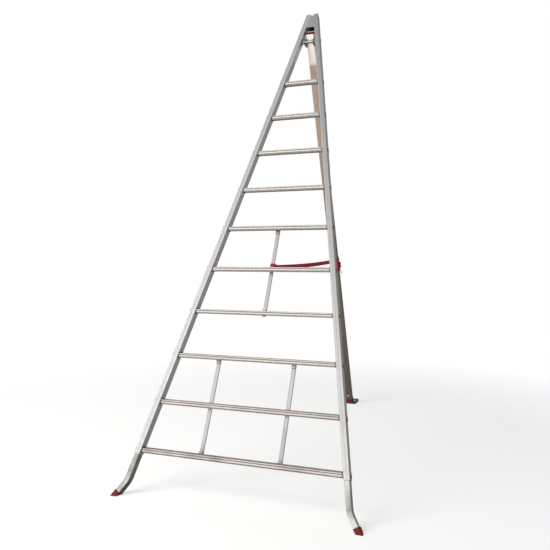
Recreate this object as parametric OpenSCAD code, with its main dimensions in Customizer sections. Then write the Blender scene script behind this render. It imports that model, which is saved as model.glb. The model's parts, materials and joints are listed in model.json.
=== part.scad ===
// Orchard tripod ladder: two tapering stiles with level treads, and one rear leg hinged at the head.
// Units are millimetres. X runs along the treads, +Y runs back towards the rear leg and Z is up.
// The origin is on the ground, at the middle of the ladder's footprint.

/* [Ladder frame] */
// Angle of the ladder from upright, in degrees
lean = 25.5; // [22:0.5:28]
// Inward slope of each stile, in degrees
side_angle = 10.42; // [9.8:0.02:10.6]
// Half the clear width between the stiles, measured at the ground line
half_gap = 630; // [625:1:640]
// Number of treads
rung_count = 10; // [10:1:10]
// Distance between treads along the ladder
rung_pitch = 280; // [270:1:284]
// Height of the lowest tread along the ladder
first_rung = 266; // [255:1:280]
// Where the stiles start, just under the lowest tread
stile_foot = 242; // [230:1:242]
// Where the stiles end
stile_top = 3380; // [3360:5:3390]

/* [Stile section] */
// Width of a stile across the ladder
stile_w = 33; // [32:0.5:36]
// Depth of a stile from front to back
stile_d = 50; // [50:1:54]
// Wall thickness of a stile
stile_wall = 2; // [1.8:0.1:2.4]
// Width of the groove along the front of a stile
groove_w = 5; // [3:0.5:8]
// Depth of the groove along the front of a stile
groove_d = 0.8; // [0.4:0.1:1]

/* [Treads] */
// Depth of a tread from front to back
rung_d = 38; // [36:1:38]
// Height of a tread
rung_h = 27; // [25:1:28]
// Backward slope of the tread's top, in degrees
rung_slope = 6; // [0:1:8]
// Wall thickness of a tread
rung_wall = 2.8; // [2.6:0.1:3.4]
// How far the flared end of a tread stands out round it
flare = 3; // [2:0.5:4]
// Thickness of a flared end
flare_t = 1.5; // [1:0.5:2]

/* [Feet] */
// Outward bend of each foot tube, in degrees
foot_bend = 22; // [18:1:24]
// Radius of that bend at the tube's middle
bend_radius = 120; // [100:5:140]
// Where the bend starts, along the ladder
bend_start = 118; // [110:1:125]
// Top of the foot tube inside the stile
foot_tube_top = 345; // [320:5:400]
// Length of the foot tube between its bend and the mouth of its cap
foot_tail = 54; // [50:1:58]
// Wall thickness of a foot cap
cap_wall = 3.6; // [3:0.2:4]
// Thickness of a foot cap's sole
cap_sole = 6; // [4:1:8]

/* [Struts] */
// Width of a strut
strut_w = 24; // [20:1:26]
// Thickness of a strut
strut_t = 12; // [10:1:12]
// Distance of the two lower struts from the middle
lower_strut_x = 230; // [180:5:260]

/* [Hinge] */
// Place of the hinge pin along the ladder
pin_s = 3155; // [3150:1:3160]
// Distance of the hinge pin behind the ladder's front
pin_dep = 30; // [29:1:31]
// Radius of the hinge pin
pin_r = 6; // [6:0.5:6]
// Outer radius of the hinge sleeve
sleeve_r = 9; // [8:0.5:10]
// Radial clearance of the running fits
fit = 0.08; // [0.05:0.01:0.1]

/* [Rear leg] */
// Angle of the rear leg from upright, in degrees
leg_angle = 22.5; // [22:0.5:23]
// Width of the leg across the ladder
leg_w = 58; // [56:1:59]
// Depth of the leg
leg_d = 45; // [40:1:46]
// Wall thickness of the leg
leg_wall = 2; // [1.8:0.1:3]
// Distance of the leg's middle behind the hinge pin
leg_offset = 54.7; // [54:0.1:56]
// Length of the leg above the hinge pin, with its cap
leg_above = 62; // [60:1:66]
// Thickness of a hinge cheek
cheek_t = 5; // [4:0.5:6]

/* [Rear foot] */
// Width of the rubber sole
sole_w = 114; // [100:2:130]
// Length of the rubber sole behind the leg's foot
sole_back = 110; // [90:2:130]
// Length of the rubber sole in front of the leg's foot
sole_front = 34; // [30:1:40]
// Height of the sole's rim
sole_rim = 18; // [14:1:20]
// Thickness of the sole
sole_t = 10; // [8:1:12]

/* [Strap] */
// Width of the webbing
web_w = 28; // [22:1:30]
// Thickness of the webbing
web_t = 3; // [2:0.5:4]
// Distance of the webbing to the right of the middle, at the strut and at the leg
web_x0 = 13.5; // [12:0.5:14]
web_x1 = 31; // [29:0.5:33]
// Place of the strap's loop along the ladder
loop_s = 1421; // [1418:1:1426]
// Distance of the strap's knot below the hinge, along the leg
knot_l = 1684; // [1670:1:1700]
// Sag of the strap when the ladder stands open
web_sag = 10; // [6:1:20]
// Share of the strap that lies between its loop and its fold
fold_share = 0.4812; // [0.47:0.0002:0.49]

/* [Hidden] */

$fn = 48;
arc_steps = 5;
gap = 0.2;
// Radius of the corners inside every tube, and of those outside the stiles and the leg
inner_r = 0.4;
stile_r = 4;
leg_r = 5;
// How much wider a hole is than its rivet or bolt, in radius
hole_gap = 0.1;
// Gap under a plate that lies on another piece
lie = 0.05;
// How far a cutting shape reaches past what it cuts, and the length of a cutting rod
past = 10;
cut_rod = 400;
metal = [0.78, 0.78, 0.78];
bright = [0.86, 0.85, 0.84];
steel = [0.45, 0.45, 0.47];
cap_red = [0.55, 0.06, 0.07];
web_red = [0.65, 0.05, 0.12];
black = [0.07, 0.07, 0.07];

// Middle of the stile and of the tread, measured back from the ladder's front
stile_mid = stile_d / 2;
// Angle of a tread's section inside the ladder's own frame
rung_turn = lean - rung_slope;
// Offset of a stile's middle line from its inner face, along X
stile_half_x = stile_w / 2 / cos(side_angle);
// Ground distances of the hinge pin and of the leg's foot from the ladder's foot line
pin_y = pin_s * sin(lean) + pin_dep * cos(lean);
pin_z = pin_s * cos(lean) - pin_dep * sin(lean);
leg_run = (pin_z + leg_offset * sin(leg_angle)) / cos(leg_angle);
leg_foot_y = pin_y + leg_offset * cos(leg_angle) + leg_run * sin(leg_angle);
// Foot tube's section, and the distance of the foot caps' front edge behind the ladder's foot line
tube_w = stile_w - 2 * stile_wall - 2 * gap;
tube_d = stile_d - 2 * stile_wall - 2 * gap;
front_y = (stile_mid - tube_d / 2 - cap_wall) / cos(lean);
// The whole ladder is moved forward so that its footprint is centred on the origin
shift_y = -(leg_foot_y + sole_back + front_y) / 2;

// ---------- shared outlines ----------

function corner(cx, cy, r, a0) =
    [for (i = [0 : arc_steps])
        let (a = a0 + 90 * i / arc_steps)
            [cx + r * cos(a), cy + r * sin(a)]];

// Points of a rectangle with round corners, centred on the origin
function round_rect(w, h, r) = concat(
    corner(w / 2 - r, h / 2 - r, r, 0),
    corner(r - w / 2, h / 2 - r, r, 90),
    corner(r - w / 2, r - h / 2, r, 180),
    corner(w / 2 - r, r - h / 2, r, 270));

module tube_section(w, h, r, wall) {
    difference() {
        polygon(round_rect(w, h, r));
        polygon(round_rect(w - 2 * wall, h - 2 * wall, inner_r));
    }
}

// ---------- places ----------

// Ladder frame: X across, Y back from the ladder's front, Z up along the ladder
module on_ladder() {
    translate([0, shift_y, 0])
        rotate([-lean, 0, 0])
            children();
}

// Stile frame of the right side: Z runs up the middle of the stile, Y back from its front
module on_stile() {
    translate([half_gap + stile_half_x, 0, 0])
        rotate([0, -side_angle, 0])
            children();
}

module on_side(side) {
    mirror([side < 0 ? 1 : 0, 0, 0])
        children();
}

// Leg frame: origin on the hinge pin, Z up along the leg, Y towards the leg's rear
module on_leg() {
    translate([0, shift_y + pin_y, pin_z])
        rotate([leg_angle, 0, 0])
            children();
}

function rung_s(i) = first_rung + (i - 1) * rung_pitch;
// Length along the stile of a place along the ladder
function along_stile(s) = s / cos(side_angle);
// Half the distance between the stiles' inner faces
function inner_half(s) = half_gap - s * tan(side_angle);
// Half the distance between the stiles' outer faces
function outer_half(s) = inner_half(s) + 2 * stile_half_x;

// The wedge between the stiles, from one height to another, moved out or in by a margin
module between_stiles(s0, s1, inner, margin, dep0, dep1) {
    w0 = (inner ? inner_half(s0) : outer_half(s0)) + margin / cos(side_angle);
    w1 = (inner ? inner_half(s1) : outer_half(s1)) + margin / cos(side_angle);
    translate([0, dep1, 0])
        rotate([90, 0, 0])
            linear_extrude(height = dep1 - dep0)
                polygon([[-w0, s0], [w0, s0], [w1, s1], [-w1, s1]]);
}

// A rivet with a low head on the surface and a shank that runs in below it.
// The head is given as its radius at the surface, the radius of its top and its height.
module rivet(head, shank_r, shank) {
    cylinder(r1 = head[0], r2 = head[1], h = head[2]);
    translate([0, 0, -shank]) cylinder(r = shank_r, h = shank + 0.5);
}

module x_rod(s, dep, r, length) {
    translate([-length / 2, dep, s])
        rotate([0, 90, 0])
            cylinder(r = r, h = length);
}

// ---------- treads ----------

tread_reach = 720;
// How far a tread's own cutting shapes reach above and below it
rung_reach = 40;
rung_r = 4;
hollow_r = 3;
groove_drops = [8.5, 21.5];
front_groove_w = 5;
front_groove_d = 1.6;
rib_w = 1.6;
rib_d = 0.8;
rib_pitch = 5.5;
rib_count = 5;

module along_tread(s) {
    translate([-tread_reach, stile_mid, s])
        rotate([rung_turn, 0, 0])
            rotate([90, 0, 90])
                linear_extrude(height = 2 * tread_reach)
                    children();
}

module tread_outline(grow) {
    polygon(round_rect(rung_d + 2 * grow, rung_h + 2 * grow, rung_r + grow));
}

// Ribbed outline: two grooves along the front and the back, fine ribs on top, two grooves below
module tread_ribbed() {
    difference() {
        tread_outline(0);
        for (side = [-1, 1])
            for (drop = groove_drops)
                translate([side * rung_d / 2, rung_h / 2 - drop])
                    square([2 * front_groove_d, front_groove_w], center = true);
        for (i = [0 : rib_count - 1])
            translate([(i - (rib_count - 1) / 2) * rib_pitch, rung_h / 2])
                square([rib_w, 2 * rib_d], center = true);
        for (side = [-1, 1])
            translate([side * 7, -rung_h / 2])
                square([front_groove_w, 2 * rib_d], center = true);
    }
}

module tread_hollow() {
    polygon(round_rect(rung_d - 2 * rung_wall, rung_h - 2 * rung_wall, hollow_r));
}

module rung(i) {
    s = rung_s(i);
    low = s - rung_reach;
    high = s + rung_reach;
    color(bright)
        on_ladder()
            difference() {
                union() {
                    intersection() {
                        along_tread(s) tread_ribbed();
                        between_stiles(low, high, false, flare_t, -past, stile_d + past);
                    }
                    intersection() {
                        along_tread(s) tread_outline(flare);
                        difference() {
                            between_stiles(low, high, false, flare_t, -past, stile_d + past);
                            between_stiles(low - 1, high + 1, false, 0, -past - 1, stile_d + past + 1);
                        }
                    }
                    intersection() {
                        along_tread(s) tread_outline(flare);
                        difference() {
                            between_stiles(low, high, true, 0, 0.5, stile_d - 0.5);
                            between_stiles(low - 1, high + 1, true, -flare_t, -past - 1, stile_d + past + 1);
                        }
                    }
                }
                along_tread(s) tread_hollow();
                strut_rivet_holes();
            }
}

// ---------- stiles ----------

module stile_section() {
    difference() {
        translate([0, stile_mid]) tube_section(stile_w, stile_d, stile_r, stile_wall);
        square([groove_w, 2 * groove_d], center = true);
    }
}

module stile(side) {
    color(metal)
        on_ladder()
            on_side(side)
                difference() {
                    on_stile()
                        translate([0, 0, along_stile(stile_foot)])
                            linear_extrude(height = along_stile(stile_top - stile_foot))
                                stile_section();
                    for (i = [1 : rung_count])
                        along_tread(rung_s(i)) tread_outline(gap);
                    x_rod(pin_s, pin_dep, pin_r + gap, cut_rod);
                    head_rivet_holes();
                    foot_rivet_holes();
                }
}

plug_t = 3;
plug_len = 18;

module stile_plug(side) {
    top = along_stile(stile_top);
    color(steel)
        on_ladder()
            on_side(side)
                on_stile()
                    translate([0, stile_mid, 0]) {
                        translate([0, 0, top])
                            linear_extrude(height = plug_t)
                                polygon(round_rect(stile_w, stile_d, stile_r));
                        translate([0, 0, top - plug_len])
                            linear_extrude(height = plug_len + 0.5)
                                polygon(round_rect(tube_w, tube_d, inner_r));
                    }
}

// ---------- feet ----------

tube_wall = 2;
// The tube and its cap run on to below the ground before they are cut level
tube_end = foot_tail + 60;
bend_steps = 12;
bend_l = along_stile(bend_start);

// Outline of the bent tube seen from the front, half a width to each side of its middle line.
// It runs down one side to the tail and up the other, and each end may be made longer.
function bend_point(r, a) = [bend_radius - r * cos(a), bend_l - r * sin(a)];
function tail_point(r, len) = bend_point(r, foot_bend) + len * [sin(foot_bend), -cos(foot_bend)];
function bent_outline(half, top, tail) = concat(
    [[-half, top]],
    [for (i = [0 : bend_steps]) bend_point(bend_radius + half, foot_bend * i / bend_steps)],
    [tail_point(bend_radius + half, tail), tail_point(bend_radius - half, tail)],
    [for (i = [bend_steps : -1 : 0]) bend_point(bend_radius - half, foot_bend * i / bend_steps)],
    [[half, top]]);

module bent_bar(w, d, longer) {
    translate([0, d / 2, 0])
        rotate([90, 0, 0])
            linear_extrude(height = d)
                polygon(bent_outline(w / 2, along_stile(foot_tube_top) + longer, tube_end + longer));
}

// Frame at the lower end of the bend: Z points up the foot tube, X outward
module below_bend() {
    translate([bend_radius, 0, bend_l])
        rotate([0, -foot_bend, 0])
            translate([-bend_radius, 0, 0])
                children();
}

module foot_tube_body() {
    translate([0, stile_mid, 0])
        difference() {
            bent_bar(tube_w, tube_d, 0);
            bent_bar(tube_w - 2 * tube_wall, tube_d - 2 * tube_wall, 1);
        }
}

module foot_tube(side) {
    color(bright)
        on_ladder()
            on_side(side)
                difference() {
                    intersection() {
                        on_stile() foot_tube_body();
                        above_ground(cap_sole);
                    }
                    along_tread(rung_s(1)) tread_outline(gap);
                    foot_rivet_holes();
                }
}

// Size of the blocks that keep only what is above the ground
ground_cut = 1000;
cap_r = 6;

module above_ground(level) {
    rotate([lean, 0, 0])
        translate([-ground_cut, -ground_cut, level])
            cube([2 * ground_cut, 2 * ground_cut, ground_cut]);
}

// A straight bar round the foot tube, from its cut end to some way past its cap's mouth
module cap_bar(grow, r, longer) {
    on_stile()
        translate([0, stile_mid, 0])
            below_bend()
                translate([0, 0, -tube_end])
                    linear_extrude(height = tube_end - foot_tail + longer)
                        polygon(round_rect(tube_w + 2 * grow, tube_d + 2 * grow, r));
}

module foot_cap(side) {
    color(cap_red)
        on_ladder()
            on_side(side)
                difference() {
                    intersection() {
                        cap_bar(cap_wall, cap_r, 0);
                        above_ground(0);
                    }
                    intersection() {
                        cap_bar(gap / 2, inner_r / 2, past);
                        above_ground(cap_sole - lie);
                    }
                }
}

// Rivets that hold each foot tube inside its stile, measured along the stile
foot_rivet_l = [305, 332];
foot_rivet_r = 2.5;
foot_rivet_dep = [15, 35];
foot_rivet_head = [5.5, 3.5, 2.2];
foot_rivet_shank = 9;

module at_foot_rivets() {
    on_stile()
        for (l = foot_rivet_l)
            for (dep = foot_rivet_dep)
                translate([stile_w / 2, dep, l])
                    rotate([0, 90, 0])
                        children();
}

module foot_rivet_holes() {
    at_foot_rivets()
        translate([0, 0, -past])
            cylinder(r = foot_rivet_r + hole_gap, h = 2 * past);
}

module foot_rivets() {
    color(steel)
        on_ladder()
            for (side = [-1, 1])
                on_side(side)
                    at_foot_rivets()
                        rivet(foot_rivet_head, foot_rivet_r, foot_rivet_shank);
}

// ---------- struts ----------

strut_dep = 48;
strut_wall = 1.5;
strut_r = 5;
// Ends of a strut below its lowest tread and above its highest
strut_below = 8;
strut_above = 16;
saddle_h = 30;
saddle_w = 22;
saddle_front = 37;
rivet_r = 2.4;
rivet_rise = 6;
rivet_head = [6, 4, 2.4];
rivet_shank = 22;
// Where the holes of a strut's rivets start, inside the hollow of the tread
rivet_hole_dep = 30;
// Each strut: place across, lowest tread and highest tread
struts = [[0, 4, 6], [-lower_strut_x, 1, 3], [lower_strut_x, 1, 3]];

module strut(k) {
    x = struts[k][0];
    low = rung_s(struts[k][1]) - strut_below;
    high = rung_s(struts[k][2]) + strut_above;
    color(metal)
        on_ladder()
            difference() {
                translate([x, strut_dep + strut_t / 2, low])
                    linear_extrude(height = high - low)
                        tube_section(strut_w, strut_t, strut_r, strut_wall);
                strut_rivet_holes();
            }
}

module strut_rivet_holes() {
    for (st = struts)
        for (i = [st[1] : st[2]])
            translate([st[0], rivet_hole_dep, rung_s(i) + rivet_rise])
                rotate([-90, 0, 0])
                    cylinder(r = rivet_r + hole_gap, h = 2 * rivet_hole_dep);
}

module strut_rivets() {
    color(steel)
        on_ladder()
            for (st = struts)
                for (i = [st[1] : st[2]])
                    translate([st[0], strut_dep + strut_t, rung_s(i) + rivet_rise])
                        rotate([-90, 0, 0])
                            rivet(rivet_head, rivet_r, rivet_shank);
}

// Packing pieces that fill the wedge between a strut and the sloping back of a tread
module strut_saddles() {
    color(metal)
        on_ladder()
            for (st = struts)
                for (i = [st[1] : st[2]])
                    difference() {
                        low = i == st[2] ? -saddle_h : -5;
                        high = i == st[1] ? saddle_h : 19;
                        translate([st[0] - saddle_w / 2, saddle_front, rung_s(i) + low])
                            cube([saddle_w, strut_dep - saddle_front, high - low]);
                        along_tread(rung_s(i)) tread_outline(lie);
                        strut_rivet_holes();
                    }
}

// ---------- head ----------

gusset_t = 3;
// Distance of each gusset's face behind the front or before the back of the stiles
gusset_face = 1;
front_gusset_low = 3263;
rear_gusset_low = 3270;
gusset_top = 3372;
// Rivets through each gusset flange into the inner wall of its stile, measured along the stile
head_rivet_l = [3350, 3405];
head_rivet_dep = [13, 37];
head_rivet_r = 2.5;
head_rivet_head = [5, 3, 2];
head_rivet_shank = 9.5;

module at_head_rivets(out) {
    on_stile()
        for (l = head_rivet_l)
            for (dep = head_rivet_dep)
                translate([-stile_w / 2 - out, dep, l])
                    rotate([0, 90, 0])
                        children();
}

module head_rivet_holes() {
    for (side = [-1, 1])
        on_side(side)
            at_head_rivets(past)
                cylinder(r = head_rivet_r + hole_gap, h = 2 * past);
}

// Tray folded from plate: a web across the stiles and a flange along each of them
module gusset(low, web_dep, edge_dep) {
    near = min(web_dep, edge_dep);
    far = max(web_dep, edge_dep);
    color(metal)
        on_ladder()
            difference() {
                between_stiles(low, gusset_top, true, -lie, near, far);
                if (web_dep < edge_dep)
                    between_stiles(low - past, gusset_top - gusset_t, true, -gusset_t,
                        near + gusset_t, far + past);
                else
                    between_stiles(low - past, gusset_top - gusset_t, true, -gusset_t,
                        near - past, far - gusset_t);
                head_rivet_holes();
            }
}

module head_rivets() {
    color(steel)
        on_ladder()
            for (side = [-1, 1])
                on_side(side)
                    at_head_rivets(gusset_t)
                        rotate([180, 0, 0])
                            rivet(head_rivet_head, head_rivet_r, head_rivet_shank);
}

// ---------- hinge ----------

sleeve_len = 94;
cheek_out = leg_w / 2 + cheek_t;
bush_r = 13;
washer_r = 11;
pin_head_r = 9.5;
pin_head_h = 2.6;
hinge_reach = 60;
pin_reach = outer_half(pin_s) + washer_r * tan(side_angle) + 0.3;

// Axle peened over at both ends into low heads
module hinge_pin() {
    color(steel)
        on_ladder() {
            x_rod(pin_s, pin_dep, pin_r, 2 * pin_reach + 1);
            for (side = [-1, 1])
                on_side(side)
                    translate([pin_reach, pin_dep, pin_s])
                        rotate([0, 90, 0])
                            cylinder(r1 = pin_head_r, r2 = pin_head_r - 2.5, h = pin_head_h);
        }
}

// The wedge between the stiles' faces beside the hinge, moved by a margin
module beside_hinge(inner, margin) {
    between_stiles(pin_s - hinge_reach, pin_s + hinge_reach, inner, margin, -hinge_reach, 2 * hinge_reach);
}

// Wedge washers that square the pin to the sloping stiles
module hinge_washers() {
    color(steel)
        on_ladder()
            difference() {
                x_rod(pin_s, pin_dep, washer_r, 2 * pin_reach);
                beside_hinge(false, 0.02);
                x_rod(pin_s, pin_dep, pin_r + hole_gap, cut_rod);
            }
}

module hinge_sleeve() {
    color(bright)
        on_ladder()
            difference() {
                x_rod(pin_s, pin_dep, sleeve_r, sleeve_len);
                x_rod(pin_s, pin_dep, pin_r + gap, cut_rod);
            }
}

// Nylon bushes that keep the leg's cheeks clear of the stiles
module hinge_bushes() {
    color(black)
        on_ladder()
            difference() {
                intersection() {
                    x_rod(pin_s, pin_dep, bush_r, cut_rod / 2);
                    beside_hinge(true, -0.3);
                }
                x_rod(pin_s, pin_dep, bush_r + 5, 2 * (cheek_out + 0.4));
                x_rod(pin_s, pin_dep, sleeve_r + fit / 2 + 0.01, cut_rod);
            }
}

// ---------- rear leg ----------

leg_end_rise = 30;
leg_low = -leg_run + leg_end_rise / cos(leg_angle);
top_cap_h = 32;
top_flange_h = 14;

module leg_section_at(z0, z1, grow, r) {
    translate([0, leg_offset, z0])
        linear_extrude(height = z1 - z0)
            polygon(round_rect(leg_w + 2 * grow, leg_d + 2 * grow, r));
}

module leg_tube() {
    color(bright)
        on_leg()
            difference() {
                translate([0, leg_offset, leg_low])
                    linear_extrude(height = leg_above - top_flange_h - leg_low)
                        tube_section(leg_w, leg_d, leg_r, leg_wall);
                for (z = cheek_bolt_z)
                    translate([0, leg_offset, z])
                        rotate([0, 90, 0])
                            cylinder(r = cheek_bolt_r + hole_gap, h = cut_rod, center = true);
                shoe_bolt_line(shoe_bolt_r + hole_gap, cut_rod);
            }
}

// Plug that closes the leg's top, with a flange the size of the leg
module leg_top_cap() {
    color(cap_red)
        on_leg() {
            leg_section_at(leg_above - top_flange_h, leg_above, 0, leg_r);
            leg_section_at(leg_above - top_cap_h, leg_above - top_flange_h + 0.5,
                -leg_wall - leg_gap, inner_r);
        }
}

leg_gap = 0.15;
cheek_bolt_z = [-32, 8];
cheek_bolt_r = 4;
hex_r = 6.5;
hex_h = 4.2;
cheek_low = -52;
cheek_high = 24;
eye_r = 18;

// Side plate of the hinge: an eye on the hinge sleeve and a flat bolted to the leg's side
module hinge_cheek(side) {
    color(steel)
        on_leg()
            on_side(side)
                translate([leg_w / 2 + lie, 0, 0])
                    rotate([90, 0, 90])
                        linear_extrude(height = cheek_t - lie)
                            difference() {
                                union() {
                                    circle(r = eye_r);
                                    polygon([[-10, -14.96], [-6, -22], [leg_offset + 14, cheek_low],
                                        [leg_offset + 20, cheek_low + 6], [leg_offset + 20, cheek_high - 6],
                                        [leg_offset + 14, cheek_high], [-4, 17.55], [-10, 14.96]]);
                                }
                                circle(r = sleeve_r + fit);
                                for (z = cheek_bolt_z)
                                    translate([leg_offset, z]) circle(r = cheek_bolt_r + hole_gap);
                            }
}

module cheek_bolts() {
    reach = cheek_out + 3;
    color(steel)
        on_leg()
            for (z = cheek_bolt_z)
                translate([0, leg_offset, z])
                    rotate([0, 90, 0]) {
                        cylinder(r = cheek_bolt_r, h = 2 * reach, center = true);
                        translate([0, 0, -cheek_out - hex_h]) cylinder(r = hex_r, h = hex_h, $fn = 6);
                    }
}

module cheek_nuts() {
    color(steel)
        on_leg()
            for (z = cheek_bolt_z)
                translate([cheek_out, leg_offset, z])
                    rotate([0, 90, 0])
                        difference() {
                            cylinder(r = hex_r, h = hex_h + 0.8, $fn = 6);
                            translate([0, 0, -1]) cylinder(r = cheek_bolt_r, h = past);
                        }
}

// ---------- rear foot ----------

cap_grow = 2;
foot_cap_top = leg_low + 26;
plate_t = 3;
plate_w = 54;
// How much further the plate reaches to each side where it lies in the tray
plate_side = 20;
plate_inset = 8;
shoe_bolt_z = leg_low + 56;
plate_top = leg_low + 84;
// How far the foot's sloping pieces run on below the leg before they are cut level
plate_drop = 60;
shoe_bolt_r = 5;
shoe_head_r = 9;
shoe_head_h = 5;
shoe_nut_h = 8;
sole_r = 16;
rim_t = 5;
// Length at the sole's front that has no rim
open_front = 33;

// A straight bar through the leg from front to back, at the shoe bolt
module shoe_bolt_line(r, length) {
    translate([0, leg_offset, shoe_bolt_z])
        rotate([90, 0, 0])
            cylinder(r = r, h = length, center = true);
}

// Everything above a level of the ground, in the row's own frame
module above(level) {
    translate([-ground_cut, shift_y + leg_foot_y - ground_cut / 2, level])
        cube([2 * ground_cut, ground_cut, ground_cut]);
}

module leg_foot_cap() {
    color(cap_red)
        intersection() {
            on_leg()
                difference() {
                    leg_section_at(leg_low - plate_drop, foot_cap_top, cap_grow, cap_r);
                    leg_section_at(leg_low, foot_cap_top + past, gap / 2, leg_r);
                    translate([-leg_w, leg_offset + leg_d / 2 - 1, leg_low - 2 * plate_drop])
                        cube([2 * leg_w, past, 4 * plate_drop]);
                }
            above(sole_t + lie);
        }
}

// Rubber tray that lies flat on the ground behind and under the leg's foot
module shoe_sole() {
    length = sole_back + sole_front;
    mid_y = shift_y + leg_foot_y + (sole_back - sole_front) / 2;
    color(black)
        translate([0, mid_y, 0])
            difference() {
                linear_extrude(height = sole_rim)
                    polygon(round_rect(sole_w, length, sole_r));
                translate([0, 0, sole_t])
                    linear_extrude(height = sole_rim)
                        polygon(round_rect(sole_w - 2 * rim_t, length - 2 * rim_t, sole_r - rim_t));
                translate([-sole_w, -length / 2 - 1, sole_t])
                    cube([2 * sole_w, open_front + 1, sole_rim]);
            }
}

// Bent plate: one half lies in the tray, the other is bolted up the leg's rear face
module shoe_plate() {
    rear_face = leg_offset + leg_d / 2;
    heel_y = shift_y + leg_foot_y + (leg_d / 2) / cos(leg_angle) - sole_t * tan(leg_angle);
    plate_end = shift_y + leg_foot_y + sole_back - plate_inset;
    color(metal)
        difference() {
            union() {
                translate([-plate_w / 2 - plate_side, heel_y + 1, sole_t + lie])
                    cube([plate_w + 2 * plate_side, plate_end - heel_y - 1, plate_t]);
                intersection() {
                    on_leg()
                        translate([-plate_w / 2, rear_face + lie, leg_low - plate_drop])
                            cube([plate_w, plate_t, plate_top - leg_low + plate_drop]);
                    above(sole_t + lie);
                }
            }
            on_leg() shoe_bolt_line(shoe_bolt_r + hole_gap, cut_rod);
        }
}

module shoe_bolt() {
    front = leg_offset - leg_d / 2;
    color(bright)
        on_leg()
            translate([0, 0, shoe_bolt_z])
                rotate([-90, 0, 0]) {
                    translate([0, 0, front - shoe_head_h])
                        cylinder(r1 = shoe_head_r - 3, r2 = shoe_head_r, h = shoe_head_h / 2);
                    translate([0, 0, front - shoe_head_h / 2])
                        cylinder(r = shoe_head_r, h = shoe_head_h / 2);
                    translate([0, 0, front - 1])
                        cylinder(r = shoe_bolt_r, h = leg_d + 2 * shoe_nut_h);
                }
}

module shoe_nut() {
    back = leg_offset + leg_d / 2 + plate_t + lie;
    color(steel)
        on_leg()
            translate([0, back, shoe_bolt_z])
                rotate([-90, 0, 0])
                    difference() {
                        cylinder(r = shoe_head_r, h = shoe_nut_h, $fn = 6);
                        translate([0, 0, -1]) cylinder(r = shoe_bolt_r, h = 2 * past);
                    }
}

// ---------- strap ----------

loop_t = 2.6;
wrap_t = 4;
web_clear = 0.5;
web_rings = 12;
// How far the wrapping reaches above and below the strap's end, and how far the knot stands out
wrap_above = 20;
wrap_below = 104;
knot_h = 16;
knot_tall = 62;
knot_wide = 34;
knot_r = 12;
// How far the knot sits forward of the leg's middle and below the strap's end
knot_forward = 4;
knot_drop = 52;
wrap_r = 6;
// Half the gap between the strap's two solids, as a share of its run
fold_gap = 0.0004;
// Ends of the free strap in the plane across the hinge: at the strut's loop and at the leg's wrapping
loop_dep = strut_dep + strut_t + loop_t + web_clear + web_w / 2 * sin(lean);
web_y0 = shift_y + loop_s * sin(lean) + loop_dep * cos(lean);
web_z0 = loop_s * cos(lean) - loop_dep * sin(lean);
wrap_front = leg_offset - leg_d / 2 - wrap_t - web_clear - web_w / 2 * sin(leg_angle);
web_y1 = shift_y + pin_y + wrap_front * cos(leg_angle) + knot_l * sin(leg_angle);
web_z1 = pin_z + wrap_front * sin(leg_angle) - knot_l * cos(leg_angle);

web_yaw = atan((web_x1 - web_x0) / (web_y1 - web_y0));

function web_y(u) = web_y0 + (web_y1 - web_y0) * u;
function web_z(u) = web_z0 + (web_z1 - web_z0) * u - 4 * web_sag * u * (1 - u);

// The stretch of webbing between two shares of the strap's run, standing on its edge
module web_run(u0, u1) {
    shares = [for (i = [0 : web_rings]) u0 + (u1 - u0) * i / web_rings];
    top = [for (u = shares) [web_y(u), web_z(u) + web_w / 2]];
    low = [for (i = [web_rings : -1 : 0]) [web_y(shares[i]), web_z(shares[i]) - web_w / 2]];
    translate([web_x0, web_y0, 0])
        rotate([0, 0, -web_yaw])
            translate([-web_t / 2, -web_y0, 0])
                rotate([90, 0, 90])
                    linear_extrude(height = web_t)
                        polygon(concat(top, low));
}

module strap_loop() {
    color(web_red)
        on_ladder()
            translate([0, strut_dep + strut_t / 2, loop_s - web_w / 2])
                linear_extrude(height = web_w)
                    difference() {
                        polygon(round_rect(strut_w + 2 * loop_t, strut_t + 2 * loop_t, wrap_r));
                        polygon(round_rect(strut_w + gap, strut_t + gap, strut_r));
                    }
}

module strap_front() {
    color(web_red) web_run(0, fold_share - fold_gap);
}

module strap_rear() {
    color(web_red) web_run(fold_share + fold_gap, 1);
}

module strap_wrap() {
    color(web_red)
        on_leg()
            difference() {
                leg_section_at(-knot_l - wrap_below, -knot_l + wrap_above, wrap_t, wrap_r);
                leg_section_at(-knot_l - wrap_below - 1, -knot_l + wrap_above + 1, leg_gap, leg_r);
            }
}

module strap_knot() {
    color(web_red)
        on_leg()
            translate([leg_w / 2 + wrap_t + 0.1, leg_offset - knot_forward, -knot_l - knot_drop])
                rotate([0, 90, 0])
                    linear_extrude(height = knot_h)
                        polygon(round_rect(knot_tall, knot_wide, knot_r));
}

// ---------- drawing ----------

stile(-1);  // left_stile
stile(1);  // right_stile
stile_plug(-1);  // left_stile_plug
stile_plug(1);  // right_stile_plug
foot_tube(-1);  // left_foot_tube
foot_tube(1);  // right_foot_tube
foot_cap(-1);  // left_foot_cap
foot_cap(1);  // right_foot_cap
foot_rivets();
rung(1);  // rung_01
rung(2);  // rung_02
rung(3);  // rung_03
rung(4);  // rung_04
rung(5);  // rung_05
rung(6);  // rung_06
rung(7);  // rung_07
rung(8);  // rung_08
rung(9);  // rung_09
rung(10);  // rung_10
strut(0);  // centre_strut
strut(1);  // left_strut
strut(2);  // right_strut
strut_saddles();
strut_rivets();
gusset(front_gusset_low, gusset_face, stile_mid - 1);  // front_gusset
gusset(rear_gusset_low, stile_d - gusset_face, stile_mid + 1);  // rear_gusset
head_rivets();
hinge_pin();
hinge_washers();
hinge_sleeve();
hinge_bushes();
leg_tube();
leg_top_cap();
hinge_cheek(-1);  // left_hinge_cheek
hinge_cheek(1);  // right_hinge_cheek
cheek_bolts();
cheek_nuts();
leg_foot_cap();
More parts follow.
